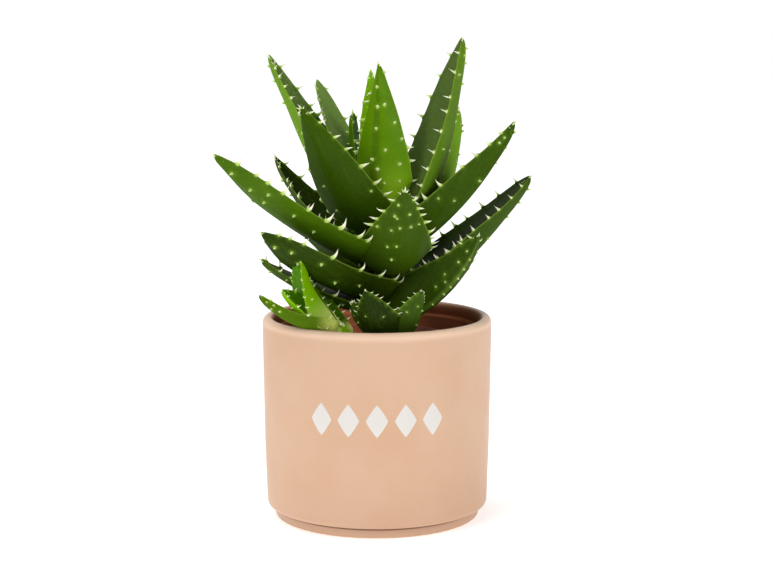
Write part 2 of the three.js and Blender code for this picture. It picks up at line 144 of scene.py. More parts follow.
class Graph:
    """A node graph, of a material or of the world."""

    def __init__(self, tree: bpy.types.NodeTree) -> None:
        """Takes the tree that the nodes are added to."""
        self.tree = tree
        self._place: Wire | None = None

    def give(self, socket: bpy.types.NodeSocket, value: Any) -> None:
        """Sets a socket, or links it.

        Args:
            socket: The socket.
            value: Its value, or the wire that carries it.
        """
        if isinstance(value, Wire):
            self.tree.links.new(value.socket, socket)
        else:
            socket.default_value = value

    def node(
        self,
        kind: str,
        settings: dict[str, Any] | None = None,
        inputs: dict[str | int, Any] | None = None,
        output: str | int = 0,
    ) -> Wire:
        """Adds a node.

        Args:
            kind: The node's type.
            settings: Its properties, set before its sockets.
            inputs: The values or wires of its sockets, by name or number.
            output: The socket that is wanted.

        Returns:
            That socket's value.
        """
        made = self.tree.nodes.new(kind)
        for key, value in (settings or {}).items():
            setattr(made, key, value)
        for key, value in (inputs or {}).items():
            self.give(made.inputs[key], value)
        return Wire(self, made.outputs[output])

    def place(self) -> Wire:
        """Reads the surface point in the object's own coordinates, in metres.

        Returns:
            The point, from one node that the whole graph shares.
        """
        if self._place is None:
            self._place = self.node("ShaderNodeTexCoord", output="Object")
        return self._place

    def stretched(self, scale: Triple) -> Wire:
        """The surface point with each axis scaled."""
        return self.node("ShaderNodeMapping", None, {"Vector": self.place(), "Scale": scale})

    def grain(self, scale: float, detail: float = 3.0, where: Wire | None = None) -> Wire:
        """Noise from 0 to 1, with scale clouds to a metre, read on the surface or at another point."""
        inputs = {"Vector": where or self.place(), "Scale": scale, "Detail": detail}
        return self.node("ShaderNodeTexNoise", None, inputs, "Fac")

    def mark(self, name: str) -> Wire:
        """A number that the piece's mesh carries at each corner point."""
        return self.node("ShaderNodeAttribute", {"attribute_name": name}, None, "Fac")

    def blend(self, share: Operand, first: Any, second: Any) -> Wire:
        """Mixes two colours, or wires that carry them, by the share of the second."""
        settings = {"data_type": "RGBA", "clamp_factor": True}
        return self.node("ShaderNodeMix", settings, {0: share, 6: first, 7: second}, 2)

    def tint(self, tone: Any, share: Operand, paint: Triple) -> Wire:
        """Lays a share of a screen colour over a tone."""
        return self.blend(share, tone, colour(*paint))


class Surface(Graph):
    """A material with one Principled surface."""

    def __init__(self, name: str) -> None:
        """Starts the material.

        Args:
            name: Its name.
        """
        self.material = bpy.data.materials.new(name)
        self.material.use_nodes = True
        super().__init__(self.material.node_tree)
        self.surface = next(n for n in self.tree.nodes if n.type == "BSDF_PRINCIPLED")

    def bump(self, height: Wire, distance: float, strength: float = 1.0) -> None:
        """Gives the surface a relief, from a height of 0 to 1 over a distance in metres."""
        inputs = {"Height": height, "Distance": distance, "Strength": strength}
        self.feed(Normal=self.node("ShaderNodeBump", None, inputs, "Normal"))

    def feed(self, **sockets: Any) -> None:
        """Sets or links the surface's sockets, named with _ for each space."""
        for key, value in sockets.items():
            self.give(self.surface.inputs[key.replace("_", " ")], value)


@dataclass(frozen=True)
class Ceramic:
    """The cover pot's satin glaze with fine dark pores, and painted light and shade: painted shade low down,
    a painted shadow in the groove, a painted highlight on the rim and painted shade inside.

    A pair is the heights or radii, in metres, between which one of these tones comes in or goes out.
    """

    body: Triple = (209, 173, 146)
    warm: Triple = (202, 160, 129)
    # Painted shade: the pot's colour low down, darker where less light reaches.
    low: Triple = (197, 158, 131)
    # Painted shadow: the dark colour laid in the groove above the foot ring.
    groove: Triple = (120, 82, 62)
    # Painted shade: the brown laid on the inside wall for the shade inside the pot.
    inner: Triple = (160, 72, 14)
    # Painted highlight: the pale colour laid along the rim.
    rim: Triple = (242, 211, 186)
    pore: Triple = (168, 120, 92)
    low_shade_heights: Pair = (0.0, 0.04)
    groove_shadow_foot: Pair = (0.0043, 0.0049)
    groove_shadow_top: Pair = (0.0056, 0.0063)
    rim_highlight_heights: Pair = (0.101, 0.1045)
    wall_radii: Pair = (0.0545, 0.0566)
    inner_heights: Pair = (0.02, 0.03)

    def material(self) -> bpy.types.Material:
        """Makes the glaze.

        Returns:
            The material.
        """
        graph = Surface("peach_glaze")
        cloud = graph.grain(28.0, 4.0).between(0.3, 0.72)
        fine = graph.grain(420.0, 2.0)
        pores = graph.grain(900.0, 1.0).between(0.7, 0.78)
        height = graph.node("ShaderNodeSeparateXYZ", None, {0: graph.place()}, "Z")
        level = {0: graph.stretched((1, 1, 0))}
        radius = graph.node("ShaderNodeVectorMath", {"operation": "LENGTH"}, level, "Value")
        # Masks of the groove's painted shadow and of the painted shade inside the pot.
        groove = height.between(*self.groove_shadow_foot) - height.between(*self.groove_shadow_top)
        inside = (1.0 - radius.between(*self.wall_radii)) * height.between(*self.inner_heights)

        tone = graph.blend(cloud * 0.55, colour(*self.body), colour(*self.warm))
        tone = graph.tint(tone, pores * 0.16, self.pore)
        # Painted shade: darker low down on the pot.
        tone = graph.tint(tone, (1.0 - height.between(*self.low_shade_heights)) * 0.5, self.low)
        # Painted shadow in the groove.
        tone = graph.tint(tone, groove, self.groove)
        # Painted highlight along the rim.
        tone = graph.tint(tone, height.between(*self.rim_highlight_heights) * 0.5, self.rim)
        # Painted shade on the inside wall.
        tone = graph.tint(tone, inside * 0.8, self.inner)
        graph.feed(Base_Color=tone, Roughness=cloud * 0.08 + inside * 0.3 + 0.42)
        graph.feed(Coat_Weight=0.16 - inside * 0.16, Coat_Roughness=0.2, Specular_IOR_Level=0.12)
        graph.bump(fine * 0.7 + cloud * 0.3, 0.00012, 0.3)
        return graph.material


@dataclass(frozen=True)
class Enamel:
    """The white of the raised lozenges on the pot."""

    white: Triple = (214, 210, 206)
    cream: Triple = (226, 217, 207)

    def material(self) -> bpy.types.Material:
        """Makes the enamel.

        Returns:
            The material.
        """
        graph = Surface("white_enamel")
        cloud = graph.grain(160.0, 3.0)
        graph.feed(Base_Color=graph.blend(cloud * 0.2, colour(*self.white), colour(*self.cream)))
        graph.feed(Roughness=cloud * 0.1 + 0.4)
        graph.bump(graph.grain(700.0, 2.0), 0.00008, 0.3)
        return graph.material


@dataclass(frozen=True)
class Plastic:
    """The nursery pot's thin moulded plastic, with flow marks and dusty scuffs."""

    body: Triple = (168, 88, 64)
    flow: Triple = (150, 74, 54)
    dust: Triple = (196, 140, 116)

    def material(self) -> bpy.types.Material:
        """Makes the plastic.

        Returns:
            The material.
        """
        graph = Surface("terracotta_plastic")
        scuffs = graph.grain(220.0, 5.0).between(0.52, 0.7)
        flow = graph.grain(60.0, 2.0, graph.stretched((1.0, 1.0, 0.15)))
        base = graph.blend(flow * 0.35, colour(*self.body), colour(*self.flow))
        graph.feed(Base_Color=graph.blend(scuffs * 0.35, base, colour(*self.dust)))
        graph.feed(Roughness=scuffs * 0.25 + 0.32)
        graph.bump(graph.grain(1200.0, 2.0), 0.00006, 0.4)
        return graph.material


class Ground(Enum):
    """What the potting mix is made of, with each kind's two colours."""

    PEAT = ("peat", (44, 31, 22), (74, 54, 40))
    BARK = ("bark_bit", (96, 62, 46), (146, 104, 84))
    PERLITE = ("perlite", (206, 200, 188), (238, 234, 226))

    def material(self) -> bpy.types.Material:
        """Makes this part of the mix.

        Returns:
            The material.
        """
        name, dark, pale = self.value
        graph = Surface(f"ground_{name}")
        crumbs = graph.grain(420.0, 6.0)
        clods = graph.grain(120.0, 3.0).between(0.35, 0.68)
        tone = graph.blend(crumbs.between(0.35, 0.7) * 0.7 + clods * 0.3, colour(*dark), colour(*pale))
        graph.feed(Base_Color=tone, Roughness=0.92)
        graph.bump(crumbs, 0.0006, 0.9)
        return graph.material


@dataclass(frozen=True)
class Bark:
    """The stems' papery brown skin, ringed by old leaf scars."""

    dark: Triple = (92, 78, 40)
    pale: Triple = (150, 138, 84)
    fibre: Triple = (66, 56, 34)

    def material(self) -> bpy.types.Material:
        """Makes the bark.

        Returns:
            The material.
        """
        graph = Surface("stem_bark")
        rings = graph.grain(300.0, 3.0, graph.stretched((0.25, 0.25, 1.6)))
        fibres = graph.grain(700.0, 3.0, graph.stretched((1.0, 1.0, 0.2)))
        base = graph.blend(rings.between(0.35, 0.65), colour(*self.dark), colour(*self.pale))
        graph.feed(Base_Color=graph.blend(fibres * 0.4, base, colour(*self.fibre)), Roughness=0.8)
        graph.bump(rings * 0.6 + fibres * 0.4, 0.0005, 0.8)
        return graph.material


@dataclass(frozen=True)
class LeafTint:
    """A leaf's colours: its underside, its channelled upper face, and the green near its base, which on
    young leaves is their own pale green and on the others is painted light and shade.

    The base's green reaches up to the share heel_end of the leaf, band paints shade along its keel, and
    glow is a painted glow, an emission that stands in for the light that shines through it. The other
    colours are the same on every leaf: the painted highlight on its keel line, its streaks, specks and
    margin, the halo round a wart or tooth, and a horn's foot, its white and its rusty point.
    """

    back: Triple
    face: Triple
    heel_and_shading: Triple
    heel_end: float = 0.32
    keel_shade: float = 0.0
    # glow is a painted glow: emission standing in for light that shines through the leaf.
    glow: float = 0.0
    # keel is the colour of the painted highlight along the keel line.
    keel: Triple = (120, 152, 62)
    streak: Triple = (110, 142, 40)
    speck: Triple = (150, 178, 80)
    margin: Triple = (148, 176, 66)
    halo: Triple = (136, 176, 50)
    horn_foot: Triple = (176, 204, 104)
    horn: Triple = (236, 238, 206)
    rust: Triple = (186, 104, 52)

    def material(self, name: str, shade: float, ridge: float) -> bpy.types.Material:
        """Makes the leaf's waxy skin.

        The mesh carries where each point is along the leaf, how close it is to the margin, whether it is
        on the upper face, and whether it belongs to a tooth or wart or to the pale ring around one.

        Args:
            name: The leaf's name.
            shade: How bright it is painted beside its kind, as painted light and shade.
            ridge: How strong the painted highlight along its keel is.

        Returns:
            The material.
        """
        graph = Surface(f"skin_{name}")
        along = graph.mark("along")
        clouds = graph.grain(70.0, 4.0)
        streaks = graph.grain(1.0, 4.0, graph.node("ShaderNodeUVMap", {"uv_map": "leaf"}))
        fine = graph.grain(1500.0, 2.0)
        flecks = graph.grain(620.0, 3.0)

        mottle = clouds.between(0.3, 0.7) * 0.35
        # The colours are scaled by shade: painted light and shade for how lit this leaf is.
        back = graph.blend(mottle, self._shaded(self.back, shade), self._shaded(self.back, shade * 0.68))
        face = graph.blend(mottle, self._shaded(self.face, shade), self._shaded(self.face, shade * 0.68))
        skin = graph.blend(graph.mark("upper"), back, face)
        # Painted shade along the keel.
        skin = graph.blend(graph.mark("keel") * self.keel_shade, skin, self._shaded(self.back, shade * 0.55))
        # The base's colour: the own pale base of young leaves, and painted light and shade at the base of
        # others.
        skin = graph.tint(skin, (1.0 - along.between(0.02, self.heel_end)) * 0.85, self.heel_and_shading)
        # Painted highlight along the keel line.
        skin = graph.tint(skin, graph.mark("keel").between(0.4, 1.0) * ridge, self.keel)
        skin = graph.tint(skin, streaks.between(0.45, 0.8) * 0.09, self.streak)
        skin = graph.blend(flecks.between(0.48, 0.72) * 0.3, skin, self._shaded(self.back, shade * 1.35))
        skin = graph.tint(skin, fine.between(0.55, 0.75) * 0.09, self.speck)
        skin = graph.tint(skin, graph.mark("margin").between(0.5, 1.0) * 0.4, self.margin)
        skin = graph.tint(skin, graph.mark("halo") * 0.3, self.halo)
        horn = graph.mark("horn")
        skin = graph.tint(skin, horn.between(0.0, 0.25), self.horn_foot)
        skin = graph.tint(skin, horn.between(0.25, 0.6), self.horn)
        skin = graph.tint(skin, horn.between(0.93, 1.0) * graph.mark("rust"), self.rust)

        graph.feed(Base_Color=skin, Roughness=clouds * 0.14 + streaks * 0.06 + 0.34)
        graph.feed(Coat_Weight=0.09, Coat_Roughness=0.32, Specular_IOR_Level=0.0)
        # Painted glow: emission that stands in for light shining through the leaf.
        if self.glow:
            graph.feed(Emission_Color=skin, Emission_Strength=self.glow)
        graph.feed(Subsurface_Weight=0.12, Subsurface_Radius=(0.6, 1.0, 0.25), Subsurface_Scale=0.002)
        graph.bump(streaks * 0.6 + fine * 0.15 + clouds * 0.25, 0.0003, 0.3)
        return graph.material

    @staticmethod
    def _shaded(tone: Triple, shade: float) -> Shade:
        """A colour with its light scaled."""
        red, green, blue, _ = colour(*tone)
        return (red * shade, green * shade, blue * shade, 1.0)


class Tone(Enum):
    """The plant's leaf tints, from the bright heart and young offset to the shaded old leaves. BRIGHT and
    PALE are partly painted light, lighter than the leaves' own green, SHADED is painted shade, and the dark
    bases of PALE and GROWN are painted shade.
    """

    BRIGHT = LeafTint((140, 190, 20), (110, 160, 10), (216, 228, 140), heel_end=0.62, glow=0.24)
    FRESH = LeafTint((104, 152, 0), (62, 112, 0), (246, 248, 150), heel_end=0.6, glow=0.22)
    YOUNG = LeafTint((70, 100, 0), (50, 84, 4), (230, 240, 120), heel_end=0.28, glow=0.1)
    CROWN = LeafTint((84, 126, 2), (68, 108, 6), (150, 194, 30), heel_end=0.4, keel_shade=0.75)
    PALE = LeafTint((98, 136, 30), (86, 108, 50), (40, 56, 10))
    GROWN = LeafTint((66, 98, 6), (56, 76, 14), (58, 88, 4))
    OLD = LeafTint((56, 82, 8), (36, 52, 6), (68, 92, 10), heel_end=0.42)
    SHADED = LeafTint((46, 68, 12), (38, 56, 12), (54, 76, 18))


class Piece:
    """A mesh in the making, in millimetres, that ends as one named piece of the object."""

    def __init__(self, name: str, marks: Iterable[str] = ()) -> None:
        """Starts an empty mesh.

        Args:
            name: The piece's name.
            marks: The numbers that its points carry for its finish.
        """
        self.name = name
        self.bm = bmesh.new()
        self.bm.verts.layers.int.new("settled")
        for mark in marks:
            self.bm.verts.layers.float.new(mark)

    def mark(self, name: str) -> Any:
        """The layer of numbers of that name on the mesh's points."""
        return self.bm.verts.layers.float[name]

    def fresh(self) -> list[bmesh.types.BMVert]:
        """Finds the points that were added since this was last asked.

        Returns:
            The points.
        """
        settled = self.bm.verts.layers.int["settled"]
        added = [v for v in self.bm.verts if v[settled] == 0]
        for v in added:
            v[settled] = 1
        return added

    def turn(self, profile: Iterable[Pair], steps: int) -> list[bmesh.types.BMVert]:
        """Spins a profile about the Z axis into a closed skin.

        Args:
            profile: Radii and heights, starting and ending on the axis.
            steps: How many steps go round.

        Returns:
            The skin's points.
        """
        chain = [self.bm.verts.new((radius, 0.0, height)) for radius, height in profile]
        edges = [self.bm.edges.new(pair) for pair in zip(chain, chain[1:])]
        whole = {"cent": (0, 0, 0), "axis": UP, "angle": 2.0 * math.pi, "use_merge": True}
        bmesh.ops.spin(self.bm, geom=chain + edges, steps=steps, **whole)
        bmesh.ops.remove_doubles(self.bm, verts=self.bm.verts, dist=0.001)
        return self.fresh()

    def tube(self, sides: int, rings: int) -> list[bmesh.types.BMVert]:
        """Adds a closed unit tube along Z, ringed all the way, for reshaping.

        Args:
            sides: How many points go round.
            rings: How many bands it has from end to end.

        Returns:
            Its points. Their height runs from 0 to 1.
        """
        unit = {"radius1": 1.0, "radius2": 1.0, "depth": 1.0}
        made = bmesh.ops.create_cone(self.bm, cap_ends=True, segments=sides, **unit)["verts"]
        bmesh.ops.translate(self.bm, verts=made, vec=UP / 2)
        touching = {e for v in made for e in v.link_edges}
        upright = [e for e in touching if abs(e.verts[0].co.z - e.verts[1].co.z) > 0.5]
        bmesh.ops.subdivide_edges(self.bm, edges=upright, cuts=rings - 1)
        return self.fresh()

    def close_ends(self) -> None:
        """Merges points that meet, and fans each many-sided end into triangles."""
        bmesh.ops.remove_doubles(self.bm, verts=self.bm.verts, dist=0.002)
        bmesh.ops.poke(self.bm, faces=[f for f in self.bm.faces if len(f.verts) > 4])

    def sharpen(self, degrees: float) -> None:
        """Marks the edges at which shading breaks.

        Args:
            degrees: The least angle that such an edge folds by.
        """
        limit = math.radians(degrees)
        for edge in self.bm.edges:
            edge.smooth = len(edge.link_faces) == 2 and edge.calc_face_angle(0.0) < limit

    def present(self, material: bpy.types.Material, slot: str, nodes: Iterable[str] = ()) -> None:
        """Turns the mesh into a piece of the object.

        Args:
            material: Its finish.
            slot: The record's material slot that the finish belongs to. It is not used.
            nodes: The CAD nodes that it stands for.
        """
        bmesh.ops.recalc_face_normals(self.bm, faces=self.bm.faces)
        self.bm.verts.layers.int.remove(self.bm.verts.layers.int["settled"])
        bmesh.ops.scale(self.bm, vec=(MM, MM, MM), verts=self.bm.verts)
        for face in self.bm.faces:
            face.smooth = True
        mesh = bpy.data.meshes.new(self.name)
        self.bm.to_mesh(mesh)
        self.bm.free()
        mesh.materials.append(material)
        made = add_object(self.name, mesh)
        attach(made, "root")
        if nodes:
            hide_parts(*nodes)
        log.info("%s: %d faces", self.name, len(mesh.polygons))


@dataclass(frozen=True)
class Blade:
    """One leaf's driving sizes, the same as its solid's, and what dresses it.

    base is a point in its stem, root how far out from there it starts, and tip its end. sag and sway are
    how far it bows down and to its left. cup is its channel's depth as a share of its half width, roll
    turns it about its length in degrees, and a higher taper keeps it broad for longer. left and right list
    the teeth of each margin that show, as shares along the leaf, and more follow below them at the spacing.
    warts are shares along it too, each with a place across its underside from -1, right, to 1, left. Where
    none are listed there is a row on the keel, with as many as spots to the sides. tooth and wart scale
    their sizes, shade paints light and shade by scaling its brightness, ridge sets the painted highlight
    along its keel, and rust stains the horns near its tip.
    """

    name: str
    base: Triple
    tip: Triple
    sag: float
    width: float
    thick: float
    cup: float
    tone: Tone = Tone.GROWN
    roll: float = 0.0
    taper: float = 2.2
    sway: float = 0.0
    root: float = 4.0
    tooth: float = 1.0
    spacing: float = 9.0
    rust: float = 0.0
    shade: float = 1.0
    left: Shares = ()
    right: Shares = ()
    warts: tuple[Pair, ...] = ()
    spots: int = 5
    wart: float = 1.0
    ridge: float = 0.0


@dataclass
class Leaf:
    """A fleshy leaf with a channelled face, a rounded back, hooked teeth on its margins and white warts.

    crowding is how much closer its rings stand near the tip. widest and base_round are shares of its
    length, and base_width one of its width. margin is half its thickness at the edge, which ripples by
    wave. Its tip swells from the first share in swells to the second, and then ends bluntly. A lobe of the
    margin carries each tooth, teeth that aren't listed keep within tooth_range, and lean is how much a
    tooth on a margin that faces the front or the back turns upward. spines places the tip's spines along
    the leaf and to its left. The sizes of teeth, spines, warts and halos are those at size 1.
    """

    blade: Blade
    sides: int = 48
    rings: int = 92
    crowding: float = 0.3
    widest: float = 0.26
    base_width: float = 0.62
    base_round: float = 0.05
    margin: float = 0.5
    swells: Pair = (0.7, 0.97)
    swell_width: float = 0.6
    swell_depth: float = 1.2
    wave: float = 0.5
    lobe: float = 0.7
    lobe_reach: float = 2.2
    tooth_height: float = 4.4
    tooth_foot: float = 1.35
    tooth_depth: float = 1.6
    tooth_range: Pair = (0.1, 0.97)
    lean: float = 2.2
    horn_sides: int = 7
    horn_rings: int = 6
    spine_heights: Pair = (3.2, 4.4)
    spine_foot: float = 0.9
    spines: tuple[Pair, ...] = ((0.93, 1.0), (0.94, -1.0), (0.965, 0.5), (0.97, -0.5), (0.985, 0.0))
    wart_height: float = 1.7
    wart_foot: float = 1.2
    wart_depth: float = 0.5
    wart_halo: float = 2.4
    tooth_halo: float = 2.6

    def __post_init__(self) -> None:
        """Lays out the midline and the teeth."""
        blade = self.blade
        self.rng = random.Random(blade.name)
        marks = ("along", "margin", "upper", "keel", "horn", "halo", "rust")
        self.piece = Piece(blade.name.replace("leaf", "blade"), marks)
        foot = Vector(blade.base)
        self.tip = Vector(blade.tip)
        chord = self.tip - foot
        level = Vector((chord.x, chord.y, 0.0)).normalized()
        self.left = Vector((-level.y, level.x, 0.0))
        below = self.left.cross(chord).normalized()
        self.knee = foot.lerp(self.tip, 0.5) + 2.0 * blade.sag * below + 2.0 * blade.sway * self.left
        self.foot = foot + blade.root * level
        self.length = chord.length
        self.phase = self.rng.uniform(0.0, 6.28)
        self.teeth = self._tooth_places()

    def midline(self, t: float) -> Vector:
        """A point of the leaf's bowed middle line."""
        return (1 - t) ** 2 * self.foot + 2 * t * (1 - t) * self.knee + t * t * self.tip

    def axes(self, t: float) -> tuple[Vector, Vector, Vector]:
        """Finds the leaf's own directions.

        Args:
            t: The share along the leaf.

        Returns:
            The directions along it, to its left, and up out of its face.
        """
        along = (2 * (1 - t) * (self.knee - self.foot) + 2 * t * (self.tip - self.knee)).normalized()
        across = (self.left - along * along.dot(self.left)).normalized()
        across.rotate(Matrix.Rotation(math.radians(self.blade.roll), 3, along))
        return along, across, along.cross(across)

    def half_width(self, t: float) -> float:
        """Half the leaf's width at t."""
        share = self.base_width + (1 - self.base_width) * smooth(t / self.widest)
        return self.blade.width / 2 * share * (1 - t**self.blade.taper)

    def _tip_ball(self, t: float) -> float:
        """Finds how much the blade swells near its tip.

        Args:
            t: The share along the leaf.

        Returns:
            The swelling, which rises from 0 and falls to 0 again at the very tip.
        """
        start, full = self.swells
        end = max(0.0, (t - full) / (1.0 - full))
        return self.blade.tooth * smooth((t - start) / (full - start)) * math.sqrt(max(0.0, 1.0 - end * end))

    def section(self, t: float, angle: float) -> Pair:
        """A point of the leaf's section.

        Args:
            t: The share along the leaf.
            angle: The angle round it: 0 is the left margin, a quarter turn the middle of the face.

        Returns:
            How far it lies to the left, and up out of the leaf.
        """
        ball = self._tip_ball(t)
        half = self.half_width(t) + self.swell_width * ball
        channel = self.blade.cup * half * (1 - 0.5 * t)
        keel = channel + self.blade.thick * max(0.0, 1 - t * t) ** 0.8 + self.swell_depth * ball
        edge = self.margin * min(1.0, half / 3.0)
        c, s = math.cos(angle), math.sin(angle)
        fold = 1.85 - 0.5 * smooth(t)
        rise = -channel * (1 - c * c) if s >= 0 else -keel * (1 - abs(c) ** fold)
        ripple = math.sin(9.0 * t + self.phase + (1.7 if c > 0 else 0.0))
        wave = self.wave * ripple * abs(c) ** 3 * min(1.0, half / 8)
        return c * half, rise + edge * s + wave

    def skin(self, t: float, angle: float) -> Vector:
        """Finds a point of the leaf's surface.

        Args:
            t: The share along the leaf.
            angle: The angle round its section.

        Returns:
            The point.
        """
        _, across, up = self.axes(t)
        left, rise = self.section(t, angle)
        return self.midline(t) + across * left + up * rise

    def outward(self, t: float, angle: float) -> Vector:
        """Finds the direction straight out of the surface.

        Args:
            t: The share along the leaf.
            angle: The angle round its section.

        Returns:
            The direction.
        """
        step = self.skin(t + 0.004, angle) - self.skin(t - 0.004, angle)
        turn = self.skin(t, angle + 0.02) - self.skin(t, angle - 0.02)
        return turn.cross(step).normalized()

    def _tooth_places(self) -> list[tuple[float, int, float]]:
        """Spaces the teeth along both margins, below those that the leaf lists.

        Returns:
            The share along the leaf, 1 for the left margin or -1 for the right, and a size, for each.
        """
        places = []
        step = self.blade.spacing / self.length
        lowest, highest = self.tooth_range
        for side, listed in ((1, self.blade.left), (-1, self.blade.right)):
            shares = list(listed)
            t = min(listed, default=highest) - step * self.rng.uniform(0.5, 1.1)
            while t > lowest:
                shares.append(t)
                t -= step * self.rng.uniform(0.75, 1.25) * (0.6 + 0.4 * t)
            for share in shares:
                size = (0.76 + 0.3 * math.sin(math.pi * share)) * self.rng.uniform(0.85, 1.15)
                places.append((share, side, size * self.blade.tooth))
        return places

    def _lobes(self, t: float, side: int) -> float:
        """How far the margin swells out where a tooth stands on it."""
        near = [(t - at) * self.length for at, which, _ in self.teeth if which == side]
        return sum(math.exp(-((gap / self.lobe_reach) ** 2)) for gap in near if abs(gap) < 6.0)

    def _shape_blade(self) -> None:
        """Bends a ringed tube into the leaf and marks its points."""
        along, margin, upper, keel = (self.piece.mark(name) for name in ("along", "margin", "upper", "keel"))
        swell = {}
        for v in self.piece.tube(self.sides, self.rings):
            share = round(v.co.z * self.rings) / self.rings
            t = share + self.crowding * (math.sin(share * math.pi / 2) - share)
            angle = math.atan2(v.co.y, v.co.x)
            c = math.cos(angle)
            side = 1 if c > 0 else -1
            if (share, side) not in swell:
                swell[share, side] = self._lobes(t, side) if share < 1 else 0.0
            lobe = self.lobe * self.blade.tooth * swell[share, side] * abs(c) ** 10
            skin = self.skin(t, angle) + self.axes(t)[1] * side * lobe * (1 - t) ** 0.3
            v.co = self.midline(t).lerp(skin, math.sqrt(min(1.0, share / self.base_round)))
            v[along] = t
            v[margin] = abs(c) ** 14
            v[upper] = smooth(0.5 + 3.0 * math.sin(angle))
            v[keel] = smooth(1.3 - abs(angle + math.pi / 2) / 0.2)
        self.piece.close_ends()

    def _horn(
        self, root: Vector, bend: Vector, point: Vector, flat: Vector, foot: float, thin: float,
        green: float = 0.0,
    ) -> None:
        """Grows one hooked prickle.

        Args:
            root: Its foot, inside the leaf.
            bend: Where its curve would turn.
            point: Its sharp end.
            flat: The direction across which it is flattened.
            foot: Its foot's half width.
            thin: Its thickness as a share of its width.
            green: How much of it keeps the leaf's colour.
        """
        horn, along, rust = (self.piece.mark(name) for name in ("horn", "along", "rust"))
        stained = (self.tip - point).length < 0.25 * self.length
        for v in self.piece.tube(self.horn_sides, self.horn_rings):
            u = round(v.co.z * self.horn_rings) / self.horn_rings
            centre = (1 - u) ** 2 * root + 2 * u * (1 - u) * bend + u * u * point
            heading = (2 * (1 - u) * (bend - root) + 2 * u * (point - bend)).normalized()
            broad = heading.cross(flat).normalized()
            deep = broad.cross(heading)
            size = foot * (1 - u) ** 1.05
            v.co = centre + size * (broad * v.co.x + deep * thin * v.co.y)
            v[horn] = u * (1.0 - green)
            v[along] = 0.5
            v[rust] = self.blade.rust if stained else 0.0

    def _grow_teeth(self) -> None:
        """Stands the teeth on the margins, and a crown of five short spines on the tip."""
        for t, side, size in self.teeth:
            along, across, up = self.axes(t)
            out = across * side
            edge = self.skin(t, 0.0 if side > 0 else math.pi) + out * 0.3
            reach = self.tooth_height * size
            turn = self.rng.uniform(-0.4, 0.5)
            lift = up * self.rng.uniform(-0.1, 0.5)
            rise = (UP - along * along.z).normalized() * abs(out.y) * self.lean
            point = edge + (out + along * turn + lift + rise).normalized() * reach
            bend = edge + (out - along * turn * 0.5) * reach * 0.45
            self._horn(edge - out * self.tooth_depth, bend, point, up, self.tooth_foot * size, 0.6)
        size = self.blade.tooth
        along, across, up = self.axes(0.95)
        for t, side in self.spines:
            root = self.midline(t) + across * side * 0.6 - up * 0.6 * size
            heading = (along + across * side + up * self.rng.uniform(-0.5, 0.7)).normalized()
            reach = self.rng.uniform(*self.spine_heights) * size
            bend = root + along * reach * 0.5
            self._horn(root, bend, root + heading * reach, up, self.spine_foot * size, 0.8)
        self.piece.close_ends()

    def _wart_places(self) -> list[Pair]:
        """Places the warts: those the leaf lists, or a loose row on the keel and some to the sides.

        Returns:
            The share along the leaf and the place across its underside, for each.
        """
        if self.blade.warts:
            return list(self.blade.warts)
        places = []
        for k in range(4):
            t = 0.3 + 0.65 * (k + self.rng.uniform(0.2, 0.8)) / 4
            places.append((t, self.rng.uniform(-0.1, 0.1)))
        for _ in range(self.blade.spots):
            places.append((self.rng.uniform(0.3, 0.92), self.rng.uniform(-0.75, 0.75)))
        return places

    def _mark_halos(self, warts: list[tuple[float, float, float]]) -> None:
        """Marks the pale ring round each wart and at each tooth's foot.

        Args:
            warts: The share along the leaf, the angle round its section and the size, for each wart.
        """
        halo, horn = self.piece.mark("halo"), self.piece.mark("horn")
        rings = [(self.skin(t, angle), self.wart_halo * size + 0.4, 1.0) for t, angle, size in warts]
        for t, side, _ in self.teeth:
            rings.append((self.skin(t, 0.0 if side > 0 else math.pi), self.tooth_halo, 0.8))
        for v in self.piece.bm.verts:
            if v[horn] == 0.0:
                near = [(1.0 - (v.co - spot).length / reach) * full for spot, reach, full in rings]
                v[halo] = smooth(max(near))

    def _grow_warts(self) -> None:
        """Raises the warts on the leaf's back."""
        warts = []
        for t, across in self._wart_places():
            size = self.rng.uniform(0.75, 1.0) * (0.45 + 0.55 * self.blade.tooth) * self.blade.wart
            warts.append((t, -math.acos(max(-1.0, min(1.0, across))), size))
        self._mark_halos(warts)
        green = 0.75 - 0.27 * self.blade.wart
        for t, angle, size in warts:
            spot, outward, heading = self.skin(t, angle), self.outward(t, angle), self.axes(t)[0]
            root = spot - outward * self.wart_depth
            bend = spot + outward * 0.8 * size
            point = spot + outward * self.wart_height * size + heading * 0.7 * size
            self._horn(root, bend, point, heading, self.wart_foot * size, 1.0, green)

    def _lay_map(self) -> None:
        """Lays out the map that the leaf's fine streaks follow: long along the leaf, short across it."""
        layer = self.piece.bm.loops.layers.uv.new("leaf")
        along = self.piece.mark("along")
        for face in self.piece.bm.faces:
            for loop in face.loops:
                t = loop.vert[along]
                _, across, _ = self.axes(min(0.98, t))
                aside = (loop.vert.co - self.midline(t)).dot(across)
                loop[layer].uv = (aside * 1.1, t * self.length * 0.07)

    def build(self) -> None:
        """Builds and dresses the leaf."""
        self._shape_blade()
        self._grow_teeth()
        self._grow_warts()
        self._lay_map()
        material = self.blade.tone.value.material(self.blade.name, self.blade.shade, self.blade.ridge)
        self.piece.present(material, "leaf", [self.blade.name])


STEM_X = 4.5


def pup_leaf(
    name: str, base: Triple, tip: Triple, sag: float, width: float, thick: float, cup: float, tone: Tone,
    tooth: float = 0.6, **more: Any
) -> Blade:
    """A small leaf of an offset, whose small teeth stand close together."""
    return Blade(name, base, tip, sag, width, thick, cup, tone, root=1.5, tooth=tooth, spacing=6.0, **more)


def rosette_leaf(
    name: str, height: float, tip: Triple, sag: float, width: float, thick: float, cup: float, **more: Any
) -> Blade:
    """A leaf of the main rosette, which leaves the stem at a height."""
    return Blade(name, (STEM_X, 0.0, height), tip, sag, width, thick, cup, **more)
